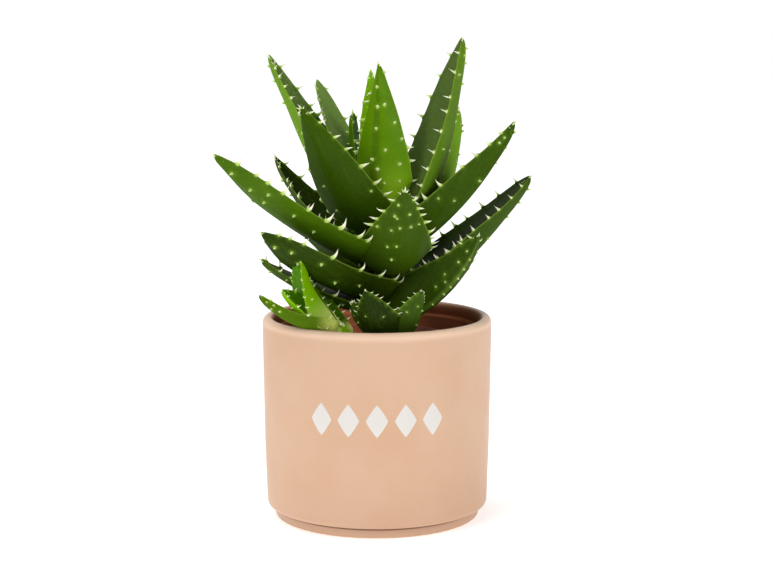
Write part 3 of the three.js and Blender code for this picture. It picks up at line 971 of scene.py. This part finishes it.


# Each leaf's shade paints light and shade: it scales its colours brighter or darker for the light on it.
ROSETTE = (
    rosette_leaf("leaf_heart", 168, (-3, 14, 234.4), 3.5, 22, 5, 0.4, tone=Tone.BRIGHT, tooth=0.8,
                 left=(0.94, 0.76, 0.62)),
    rosette_leaf("leaf_crown", 166, (1.1, -10.6, 238.3), 5.7, 35, 7.4, 0.48, tone=Tone.CROWN, roll=-3,
                 sway=2.5, taper=1.6, tooth=0.85, wart=1.35,
                 left=(0.94, 0.43, 0.34, 0.2), right=(0.81, 0.75, 0.62, 0.44),
                 warts=((0.84, 0.0), (0.71, 0.05), (0.72, 0.45), (0.6, 0.78), (0.57, 0.0), (0.49, 0.91),
                        (0.43, 0.36), (0.37, -0.1), (0.33, 0.74), (0.31, 0.1), (0.22, 0.31), (0.22, 0.71))),
    rosette_leaf("leaf_left_tall", 162, (-56.4, 13.5, 242.5), 2.3, 34.5, 7.3, 0.75, tone=Tone.PALE, roll=-13,
                 sway=1, taper=1.65, shade=1.15,
                 left=(0.92, 0.87, 0.81, 0.74, 0.65), right=(0.92, 0.78, 0.67, 0.61, 0.5),
                 warts=((0.95, 0.1), (0.87, 0.1), (0.75, 0.16), (0.59, 0.45))),
    rosette_leaf("leaf_rear_upright", 159, (-12, 10.6, 212.1), 8.5, 23, 5, 0.15, tone=Tone.CROWN, roll=22,
                 sway=-6, taper=4.6, shade=0.8,
                 left=(0.94, 0.79, 0.67), right=(0.94, 0.8)),
    rosette_leaf("leaf_rear_left_upright", 162, (-31.9, 41, 228.6), -4, 32, 6, 0.1, tone=Tone.PALE, roll=22,
                 sway=5.8, taper=4, shade=1.6,
                 left=(0.87, 0.76, 0.66), right=(0.94, 0.72, 0.6)),
    rosette_leaf("leaf_right_tall", 155, (43.1, -16, 251.7), 1.2, 34, 15.5, 0.05, tone=Tone.PALE, roll=43,
                 sway=3, taper=2.7, shade=0.74,
                 left=(0.89, 0.77, 0.65, 0.54, 0.43, 0.33),
                 right=(0.93, 0.84, 0.72, 0.65, 0.55, 0.44, 0.35, 0.26),
                 warts=((0.95, -0.1), (0.88, -0.16), (0.78, -0.21), (0.66, -0.21), (0.63, -0.21),
                        (0.92, -0.41), (0.83, -0.78), (0.46, -0.74))),
    rosette_leaf("leaf_rear_right_upright", 154, (42.7, 23, 214), 9.3, 30, 8, 0.4, tone=Tone.PALE, roll=-20,
                 shade=1.35,
                 left=(0.9, 0.76, 0.6, 0.45), right=(0.91, 0.69, 0.5)),
    rosette_leaf("leaf_left_broad", 151.5, (-38, -33, 217.3), 7.2, 37.8, 6.2, 0.08, roll=26, sway=6,
                 taper=2.5, shade=0.65,
                 left=(0.95, 0.88, 0.77, 0.68, 0.55, 0.42, 0.32, 0.23), right=(0.86, 0.77, 0.63, 0.38),
                 warts=((0.52, -0.5), (0.39, 0.81), (0.33, -0.5))),
    rosette_leaf("leaf_right_upper", 152, (70.1, -17, 209.3), 3, 34.5, 13.5, 0.08, roll=-7, sway=5.6,
                 taper=1.95, rust=1.0, shade=0.62,
                 left=(0.93, 0.82, 0.66, 0.4), right=(0.91, 0.82, 0.72, 0.61, 0.43, 0.3),
                 warts=((0.9, -0.67), (0.86, -0.71), (0.61, -0.26), (0.36, -0.84), (0.42, -0.5), (0.95, 0.1),
                        (0.85, 0.15), (0.74, 0.2))),
    rosette_leaf("leaf_rear_left", 149.5, (-54.9, 38, 187.2), 7, 29.5, 7, 0.65, roll=-3, sway=1,
                 tone=Tone.OLD, shade=0.75,
                 left=(0.91, 0.78, 0.73, 0.62, 0.5, 0.38), right=(0.93, 0.8, 0.65)),
    rosette_leaf("leaf_rear_right", 143, (35, 62, 176), 6, 30, 8, 0.4),
    rosette_leaf("leaf_left_long", 138, (-80, -53, 195.2), 7.6, 41, 6, 0.02, roll=8, sway=10.5, taper=4.5,
                 shade=1.02, tooth=1.2,
                 left=(0.91, 0.83, 0.78, 0.71, 0.59, 0.5, 0.43, 0.33), right=(0.9, 0.72, 0.5, 0.3),
                 warts=((0.74, 0.6), (0.72, 0.1), (0.48, 0.4), (0.9, 0.3), (0.8, 0.2), (0.6, 0.5))),
    rosette_leaf("leaf_front", 138, (13.8, -58, 177.8), 6.5, 43, 8, 0.3, tone=Tone.OLD,
                 left=(0.91, 0.83, 0.76, 0.67, 0.53), right=(0.91, 0.8, 0.71, 0.64, 0.48, 0.36, 0.24),
                 warts=((0.9, -0.54), (0.81, -0.48), (0.8, -0.34), (0.83, 0.41), (0.66, -0.87),
                        (0.73, -0.1), (0.72, 0.41), (0.7, 0.78), (0.69, -0.41), (0.54, -0.36),
                        (0.57, -0.1), (0.43, -0.16))),
    rosette_leaf("leaf_rear", 136, (-20, 64, 166), 6, 30, 8, 0.4, tone=Tone.OLD),
    rosette_leaf("leaf_left_hidden", 131, (-40.7, 10, 153.6), 2, 27, 7, 0.4, tone=Tone.OLD),
    rosette_leaf("leaf_right_hidden", 128, (38, 38, 141), 3, 26, 7, 0.4, tone=Tone.OLD),
    rosette_leaf("leaf_right_long", 125, (81.3, 15, 178.8), 4.4, 38.4, 13.5, 0.2, roll=-1, sway=9, taper=5,
                 tone=Tone.OLD, shade=0.86,
                 left=(0.91, 0.79, 0.69, 0.59, 0.52, 0.44), right=(0.94, 0.86, 0.76, 0.68, 0.55, 0.44),
                 warts=((0.94, 0.0), (0.86, -0.05), (0.76, -0.05), (0.6, -0.3))),
    rosette_leaf("leaf_left_low", 120, (-57.1, -56, 157), 5.5, 36, 7, 0, roll=15, sway=6.5, taper=4.8,
                 root=-3, tone=Tone.OLD, shade=0.52, tooth=1.15,
                 left=(0.93, 0.88, 0.81, 0.65, 0.47, 0.33, 0.2), right=(0.92, 0.75, 0.5),
                 warts=((0.82, 0.4), (0.66, 0.6), (0.5, 0.2), (0.38, 0.5), (0.9, 0.1), (0.74, 0.05))),
    rosette_leaf("leaf_right_low", 113, (51.6, -32.3, 152.8), 4.2, 28, 12.8, 0.42, roll=-34, sway=4.4,
                 taper=2.8, root=-3, tone=Tone.OLD, shade=0.74, ridge=0.35, tooth=0.78,
                 left=(0.94, 0.82, 0.74, 0.66), right=(0.95, 0.87, 0.76, 0.65, 0.54, 0.4, 0.26),
                 warts=((0.87, -0.5), (0.77, -0.45), (0.63, -0.5), (0.6, -0.3), (0.52, -0.4), (0.84, 0.0),
                        (0.76, 0.0), (0.68, 0.02), (0.6, 0.0), (0.53, 0.0), (0.42, 0.0))),
    rosette_leaf("leaf_rear_low", 119, (10, 62, 138), 4, 30, 8, 0.4, tone=Tone.OLD),
    rosette_leaf("leaf_left_lowest", 115, (-58.3, -34, 140.8), 4.6, 33.6, 6.5, 0.06, roll=-9, sway=-2.5,
                 taper=4.6, tone=Tone.OLD,
                 left=(0.89, 0.81, 0.66, 0.47, 0.26), right=(0.91, 0.75, 0.5),
                 warts=((0.8, 0.6), (0.35, 0.74), (0.9, 0.2))),
)


@dataclass(frozen=True)
class Offset:
    """A young plant at the foot of the main one: its short stem and its leaves."""

    name: str
    foot: Triple
    top: Triple
    radius: float
    leaves: tuple[Blade, ...]


PUP_LEFT_TOP = (-18.5, -33.0, 105.0)
PUP_FRONT_TOP = (4.5, -31.0, 105.0)
FINE_TOOTH = 0.44

# Here too each leaf's shade paints light and shade on it.
OFFSETS = (
    Offset("pup_left", (-14, -30, 76), PUP_LEFT_TOP, 4.5, (
        pup_leaf("pup_left_leaf_upright", (-18.5, -32.5, 92.5), (-38, -50.5, 145.8), 6, 20, 9.2, 0.4,
                 Tone.FRESH, FINE_TOOTH, roll=160, taper=4.4, sway=-8, wart=1.2,
                 left=(0.92, 0.77, 0.69), right=(0.94, 0.88, 0.81, 0.73, 0.66, 0.56, 0.1),
                 warts=((0.59, -0.67), (0.9, 0.1), (0.82, 0.1), (0.74, 0.1))),
        pup_leaf("pup_left_leaf_front", (-11, -31, 102), (-32.8, -31.5, 128.9), 0.4, 14.5, 4.5, 0.39,
                 Tone.YOUNG, roll=-14, sway=-1.1, left=(0.95, 0.72, 0.59, 0.34), warts=((0.7, -0.3),)),
        pup_leaf("pup_left_leaf_middle", (-19.5, -39, 107.5), (-47.3, -49, 127), 0, 18.6, 7, 0.4,
                 Tone.FRESH, roll=-38, taper=2.4, sway=-2.5,
                 left=(0.9, 0.7, 0.5, 0.1), right=(0.89, 0.75, 0.5), warts=((0.7, 0.5), (0.5, 0.4))),
        pup_leaf("pup_left_leaf_long", (-17.6, -40, 108.1), (-59.9, -30, 121.5), 2.5, 12.5, 4.2, 0.04,
                 Tone.YOUNG, roll=40, taper=4.2, sway=8.5,
                 left=(0.92, 0.8, 0.12), right=(0.9, 0.74, 0.58, 0.5, 0.35, 0.1),
                 warts=((0.83, 0.7), (0.73, 0.8), (0.75, 0.3), (0.64, 0.6))),
        pup_leaf("pup_left_leaf_basal", (-10, -36, 97), (-17.2, -44, 108.5), 1, 11, 4, 0.3,
                 Tone.FRESH, left=(0.6,), right=(0.6,), warts=((0.5, 0.0),)),
    )),
    Offset("pup_front", (5, -27, 76), PUP_FRONT_TOP, 5, (
        pup_leaf("pup_front_leaf_right", PUP_FRONT_TOP, (22, -51, 127.1), 1.5, 26, 6.5, 0.42,
                 Tone.SHADED, FINE_TOOTH, sway=1.5, rust=1.0, shade=1.35, wart=0.9,
                 left=(0.93, 0.89, 0.8, 0.72), right=(0.93, 0.84, 0.75, 0.64, 0.54, 0.4),
                 warts=((0.79, -0.26), (0.65, -0.67), (0.7, 0.3), (0.5, 0.1))),
        pup_leaf("pup_front_leaf_broad", (6.5, -31, 104), (-5.5, -60, 128.4), 2, 27, 6.5, 0.36,
                 Tone.SHADED, FINE_TOOTH, roll=10, shade=0.5, wart=0.9,
                 left=(0.94, 0.88, 0.81, 0.69, 0.56), right=(0.9, 0.81, 0.71),
                 warts=((0.65, -0.41), (0.59, 0.54))),
        pup_leaf("pup_front_leaf_left", PUP_FRONT_TOP, (-11.8, -46.5, 120.9), 0.8, 23, 5.4, 0.38,
                 Tone.SHADED, roll=18, sway=-0.8, right=(0.89, 0.69, 0.38), warts=((0.6, -0.3),)),
    )),
)


@dataclass(frozen=True)
class CoverPot:
    """The round ceramic cover pot on its low foot ring, with a plain row of raised white lozenges."""

    height: float = 106.4
    rim_radius: float = 60.3
    rim_round: float = 3.0
    middle_radius: float = 59.5
    middle_height: float = 40.0
    body_radius: float = 58.5
    body_round: float = 3.3
    foot_radius: float = 54.1
    foot_round: float = 1.0
    foot_height: float = 5.2
    groove: float = 0.8
    recess_radius: float = 54.6
    recess_depth: float = 7.0
    ledge_round: float = 0.9
    inner_radius: float = 52.4
    inner_fillet: float = 8.0
    floor: float = 7.0
    lozenges: int = 5
    lozenge: Pair = (5.6, 8.4)
    corner: float = 1.12
    proud: float = 0.22
    pitch: float = 14.6
    row_height: float = 62.0

    @staticmethod
    def _arc(r: float, z: float, radius: float, start: float, end: float, steps: int) -> list[Pair]:
        """Points of a rounded corner of the profile, in degrees from the outward direction."""
        turns = [math.radians(start + (end - start) * i / steps) for i in range(steps + 1)]
        return [(r + radius * math.cos(turn), z + radius * math.sin(turn)) for turn in turns]

    def side(self, z: float) -> float:
        """Finds the outside radius between the rounded foot and the rim.

        Args:
            z: The height.

        Returns:
            The radius there.
        """
        rim = self.height - 4.0 * self.rim_round
        if z > self.middle_height:
            share = (z - self.middle_height) / (rim - self.middle_height)
            return self.middle_radius + (self.rim_radius - self.middle_radius) * min(1.0, share)
        low = self.foot_height + self.body_round
        share = (z - low) / (self.middle_height - low)
        return self.body_radius + (self.middle_radius - self.body_radius) * share

    def profile(self) -> list[Pair]:
        """Lays out the wall's outline from the middle of the underside to the middle of the floor.

        Returns:
            Radii and heights.
        """
        rim = self.height - self.rim_round
        ledge = self.height - self.recess_depth
        bend = self.ledge_round
        fillet = self.floor + self.inner_fillet
        low = self.foot_height + self.body_round
        rises = [low + (rim - 4 - low) * k / 24 for k in range(1, 24)]
        return [
            (0.0, 0.0),
            (self.foot_radius - self.foot_round, 0.0),
            *self._arc(self.foot_radius - self.foot_round, self.foot_round, self.foot_round, -60, 0, 3),
            (self.foot_radius, self.foot_height - self.groove),
            (self.foot_radius - self.groove, self.foot_height - 0.3),
            (self.foot_radius - self.groove, self.foot_height),
            *self._arc(self.body_radius - self.body_round, low, self.body_round, -90, 0, 10),
            *[(self.side(z), z) for z in rises],
            *self._arc(self.rim_radius - self.rim_round, rim, self.rim_round, 0, 180, 18),
            (self.recess_radius - 0.3, rim - 2.0),
            (self.recess_radius, ledge + 1.2),
            *self._arc(self.recess_radius - bend, ledge + bend, bend, 0, -90, 4),
            *self._arc(self.inner_radius + bend, ledge - bend, bend, 90, 180, 4),
            (self.inner_radius, fillet),
            *self._arc(self.inner_radius - self.inner_fillet, fillet, self.inner_fillet, -5, -90, 8),
            (0.0, self.floor),
        ]

    def build(self) -> None:
        """Builds the pot and its lozenges."""
        pot = Piece("glazed_cover_pot")
        pot.turn(self.profile(), 160)
        pot.sharpen(50)
        pot.present(Ceramic().material(), "ceramic", ["cover_pot"])
        row = Piece("lozenge_row")
        for k in range(self.lozenges):
            self._lozenge(row, (k - (self.lozenges - 1) / 2) * self.pitch)
        row.present(Enamel().material(), "ceramic")

    def _lozenge(self, row: Piece, shift: float) -> None:
        """Raises one lozenge: a ball flattened into a pillow with a diamond's outline.

        Args:
            row: The piece that it is part of.
            shift: Its distance along the wall from the middle of the row.
        """
        half, tall = self.lozenge
        bmesh.ops.create_icosphere(row.bm, subdivisions=5, radius=1.0)
        for v in row.fresh():
            reach = math.hypot(v.co.x, v.co.z)
            diamond = (abs(v.co.x) ** self.corner + abs(v.co.z) ** self.corner) ** (1 / self.corner)
            spread = reach / max(1e-6, diamond)
            z = self.row_height + v.co.z * spread * tall
            stand = self.proud * (1.0 - reach**8) if v.co.y < 0.0 else -self.proud
            radius = self.side(z) + stand
            turn = (shift + v.co.x * spread * half) / radius
            v.co = Vector((radius * math.sin(turn), -radius * math.cos(turn), z))


@dataclass(frozen=True)
class NurseryPot:
    """The thin plastic pot inside, with a rolled and grooved rim."""

    centre: Pair = (-3.5, 0.0)
    foot: float = 7.3
    height: float = 87.0
    base_radius: float = 32.0
    top_radius: float = 42.6
    rim_radius: float = 45.0
    rim_height: float = 7.0
    wall: float = 1.3

    def profile(self) -> list[Pair]:
        """Lays out the wall's outline from the middle of the underside to the middle of the floor.

        Returns:
            Radii and heights.
        """
        top = self.foot + self.height
        lip = top - self.rim_height
        rim = self.rim_radius
        return [
            (0.0, self.foot),
            (self.base_radius - 1.0, self.foot),
            (self.base_radius, self.foot + 1.0),
            (self.top_radius, lip - 0.3),
            (rim - 0.8, lip),
            (rim - 0.1, lip + 0.6),
            (rim - 0.5, lip + 2.6),
            (rim - 0.15, lip + 4.6),
            (rim, top - 1.2),
            (rim - 0.25, top - 0.4),
            (rim - 0.8, top),
            (rim - 1.4, top - 0.1),
            (rim - 1.8, top - 0.8),
            (rim - 2.4, lip + 0.4),
            (self.top_radius - self.wall, lip - 1.3),
            (self.base_radius - self.wall, self.foot + self.wall),
            (0.0, self.foot + self.wall),
        ]

    def inside(self, z: float) -> float:
        """The inside radius at a height."""
        share = (z - self.foot) / (self.height - self.rim_height)
        return self.base_radius + (self.top_radius - self.base_radius) * share - self.wall

    def build(self) -> None:
        """Builds the pot."""
        pot = Piece("thin_nursery_pot")
        pot.turn(self.profile(), 112)
        bmesh.ops.translate(pot.bm, verts=pot.bm.verts, vec=(*self.centre, 0.0))
        pot.sharpen(40)
        pot.present(Plastic().material(), "plastic", ["nursery_pot"])


@dataclass(frozen=True)
class Soil:
    """Potting mix: a lumpy dome of peat with bark bits and perlite lying on it.

    gap keeps it clear of the pot's wall, and inset the bits on it. lumps gives three sizes of lump, each
    with its height, layer and fineness. bits gives each kind's piece, finish, number, and least and
    greatest half length.
    """

    pot: NurseryPot
    top: float = 88.5
    dome: float = 2.2
    gap: float = 0.6
    lumps: tuple[Triple, ...] = ((0.9, 1.0, 0.09), (0.5, 5.0, 0.28), (0.3, 9.0, 0.8))
    bits: tuple[tuple[str, Ground, int, Pair], ...] = (
        ("soil_crumbs", Ground.PEAT, 900, (0.5, 1.5)),
        ("soil_bark_bits", Ground.BARK, 240, (0.6, 1.9)),
        ("soil_perlite", Ground.PERLITE, 90, (0.5, 1.4)),
    )
    inset: float = 2.5

    def level(self, x: float, y: float) -> float:
        """Finds the surface's height at a place.

        Args:
            x: How far right of the pot's middle it is.
            y: How far behind it.

        Returns:
            The height.
        """
        reach = self.pot.inside(self.top) - self.gap
        share = min(1.0, math.hypot(x, y) / reach)
        lumps = sum(tall * noise.noise(Vector((x, y, layer)) * fine) for tall, layer, fine in self.lumps)
        return self.top - self.dome * share * share + lumps * (1.0 - 0.6 * share)

    def build(self) -> None:
        """Builds the mix and what lies on it."""
        reach = self.pot.inside(self.top - self.dome) - self.gap
        bed = Piece("soil_bed")
        rings = 56
        floor = self.pot.foot + self.pot.wall + 0.3
        steps = [(reach * k / rings, self.top) for k in range(rings, -1, -1)]
        for v in bed.turn([(0.0, floor), (self.pot.inside(floor) - self.gap, floor), *steps], 150):
            if v.co.z > self.top - 1.0:
                v.co.z = self.level(v.co.x, v.co.y)
        bmesh.ops.translate(bed.bm, verts=bed.bm.verts, vec=(*self.pot.centre, 0.0))
        bed.present(Ground.PEAT.material(), "soil", ["soil"])
        for name, kind, count, sizes in self.bits:
            self._scatter(name, kind, count, sizes)

    def _scatter(self, name: str, kind: Ground, count: int, sizes: Pair) -> None:
        """Lays bits of one kind on the surface.

        Args:
            name: The piece's name.
            kind: What they are.
            count: How many there are.
            sizes: Their least and greatest half length.
        """
        rng = random.Random(name)
        scattered = Piece(name)
        reach = self.pot.inside(self.top) - self.inset
        for _ in range(count):
            radius = reach * math.sqrt(rng.random())
            turn = rng.uniform(0.0, 2.0 * math.pi)
            x, y = radius * math.cos(turn), radius * math.sin(turn)
            size = rng.uniform(*sizes)
            made = bmesh.ops.create_icosphere(scattered.bm, subdivisions=1, radius=size)["verts"]
            for v in made:
                v.co *= rng.uniform(0.7, 1.15)
            shape = Matrix.Diagonal((1.0, rng.uniform(0.5, 0.9), rng.uniform(0.35, 0.7)))
            turned = Matrix.Rotation(rng.uniform(0.0, 6.28), 3, UP)
            tilt = Matrix.Rotation(rng.uniform(-0.6, 0.6), 3, "X")
            bmesh.ops.transform(scattered.bm, matrix=(turned @ tilt @ shape).to_4x4(), verts=made)
            place = (x + self.pot.centre[0], y + self.pot.centre[1], self.level(x, y) + 0.15 * size)
            bmesh.ops.translate(scattered.bm, verts=made, vec=place)
        scattered.present(kind.material(), "soil")


@dataclass(frozen=True)
class Stems:
    """The woody main stem, ringed by leaf scars, and the offsets' short stems.

    radii gives heights up the main stem, each with its radius there.
    """

    radii: tuple[Pair, ...] = ((58.0, 3.0), (80.0, 8.5), (150.0, 6.5), (168.5, 3.5), (172.0, 0.0))
    step: float = 1.2
    scar: float = 0.35
    scar_rate: float = 0.62
    rough: float = 0.35

    def build(self) -> None:
        """Builds the stems."""
        bark = Bark().material()
        stem = Piece("main_stem")
        profile = [(0.0, self.radii[0][0])]
        for (low, wide), (high, narrow) in zip(self.radii, self.radii[1:]):
            steps = max(2, round((high - low) / self.step))
            for k in range(steps):
                z = low + (high - low) * k / steps
                scar = self.scar * abs(math.sin(z * self.scar_rate)) ** 6
                profile.append((wide + (narrow - wide) * k / steps + scar, z))
        stem.turn([*profile, (0.0, self.radii[-1][0])], 40)
        for v in stem.bm.verts:
            rough = self.rough * noise.noise(v.co * 0.35)
            v.co += Vector((v.co.x, v.co.y, 0.0)).normalized() * rough
        bmesh.ops.translate(stem.bm, verts=stem.bm.verts, vec=(STEM_X, 0.0, 0.0))
        stem.present(bark, "bark", ["stem"])
        for offset in OFFSETS:
            self._offset_stem(offset, bark)

    @staticmethod
    def _offset_stem(offset: Offset, bark: bpy.types.Material) -> None:
        """Builds an offset's stem.

        Args:
            offset: The offset.
            bark: Its finish.
        """
        piece = Piece(f"{offset.name}_stalk")
        foot, top = Vector(offset.foot), Vector(offset.top)
        turned = UP.rotation_difference(top - foot).to_matrix()
        rings = 20
        for v in piece.tube(24, rings):
            share = round(v.co.z * rings) / rings
            size = offset.radius * (1.0 - 0.4 * share) * (1.0 + 0.06 * abs(math.sin(share * 14)) ** 5)
            v.co = foot.lerp(top, share) + turned @ Vector((v.co.x * size, v.co.y * size, 0.0))
        piece.close_ends()
        piece.present(bark, "bark", [f"{offset.name}_stem"])


@dataclass(frozen=True)
class Studio:
    """The pale floor, the soft light and the camera at the photograph's place.

    Lengths here are metres, and the camera's turns are degrees. room is the light of the room beside that
    of the wall behind the plant. The floor glows by floor_glow at its front, and by floor_rise more at the
    back end of floor_fade.
    """

    eye: Triple = (0.0, -0.95043, 0.25985)
    tilt: float = 81.624
    yaw: float = -0.288
    lens: float = 85.0
    aim: Triple = (0.0, 0.0, 0.14)
    room: float = 0.28
    wall: Pair = (0.78, 0.96)
    floor_glow: float = 0.48
    floor_rise: float = 0.35
    floor_fade: Pair = (0.1, 1.6)
    floor_radius: float = 7.0
    floor_drop: float = 0.0002
    floor_pale: Triple = (250, 250, 249)
    floor_dim: Triple = (244, 244, 243)

    def camera(self) -> None:
        """Sets the camera."""
        data = bpy.data.cameras.new("view")
        data.lens = self.lens
        data.sensor_width = 36.0
        data.clip_start = 0.01
        camera = add_object("view", data)
        camera.location = self.eye
        camera.rotation_euler = (math.radians(self.tilt), 0.0, math.radians(self.yaw))
        bpy.context.scene.camera = camera

    def floor(self) -> None:
        """Lays the floor."""
        bm = bmesh.new()
        bmesh.ops.create_circle(bm, cap_ends=True, segments=96, radius=self.floor_radius)
        bmesh.ops.translate(bm, verts=bm.verts, vec=(0.0, 0.0, -self.floor_drop))
        mesh = bpy.data.meshes.new("studio_floor")
        bm.to_mesh(mesh)
        bm.free()
        graph = Surface("pale_floor")
        cloud = graph.grain(3.0, 2.0)
        graph.feed(Base_Color=graph.blend(cloud * 0.1, colour(*self.floor_pale), colour(*self.floor_dim)))
        graph.feed(Roughness=0.9, Specular_IOR_Level=0.1)
        depth = graph.node("ShaderNodeSeparateXYZ", None, {0: graph.place()}, "Y")
        glow = depth.between(*self.floor_fade) * self.floor_rise + self.floor_glow
        graph.feed(Emission_Color=WHITE, Emission_Strength=glow)
        mesh.materials.append(graph.material)
        add_object("studio_floor", mesh)

    def lamp(self, name: str, place: Triple, size: float, power: float) -> None:
        """Hangs a square soft light that faces the plant's middle.

        Args:
            name: Its name.
            place: Where it hangs, in metres.
            size: Its width, in metres.
            power: Its power, in watts.
        """
        data = bpy.data.lights.new(name, "AREA")
        data.shape = "SQUARE"
        data.size = size
        data.energy = power
        made = add_object(name, data)
        made.location = place
        made.rotation_euler = (Vector(self.aim) - Vector(place)).to_track_quat("-Z", "Y").to_euler()

    def light(self) -> None:
        """Lights the plant: a white wall behind it, a dim room in front and three soft boxes."""
        world = bpy.data.worlds.new("studio_world")
        world.use_nodes = True
        graph = Graph(world.node_tree)
        toward = graph.node("ShaderNodeTexCoord", output="Generated")
        depth = graph.node("ShaderNodeSeparateXYZ", None, {0: toward}, "Y")
        background = world.node_tree.nodes["Background"].inputs
        graph.give(background["Strength"], depth.between(*self.wall) * (1.0 - self.room) + self.room)
        graph.give(background["Color"], WHITE)
        bpy.context.scene.world = world
        self.lamp("key_box", (-0.8, -0.95, 0.8), 0.8, 8.5)
        self.lamp("side_box", (1.0, -0.5, 0.6), 0.8, 6.0)
        self.lamp("top_box", (-0.35, 0.12, 1.2), 0.7, 6.0)
        bpy.context.scene.view_settings.view_transform = "Standard"
        bpy.context.scene.view_settings.look = "None"


def main() -> None:
    """Builds the studio, then the pots, the soil, the stems and every leaf."""
    logging.basicConfig(level=logging.INFO, format="%(message)s")
    studio = Studio()
    studio.camera()
    studio.floor()
    studio.light()
    CoverPot().build()
    inner = NurseryPot()
    inner.build()
    Soil(inner).build()
    Stems().build()
    for blade in ROSETTE:
        Leaf(blade).build()
    for offset in OFFSETS:
        for blade in offset.leaves:
            Leaf(blade, sides=40, rings=60).build()


if __name__ == "__main__":
    main()
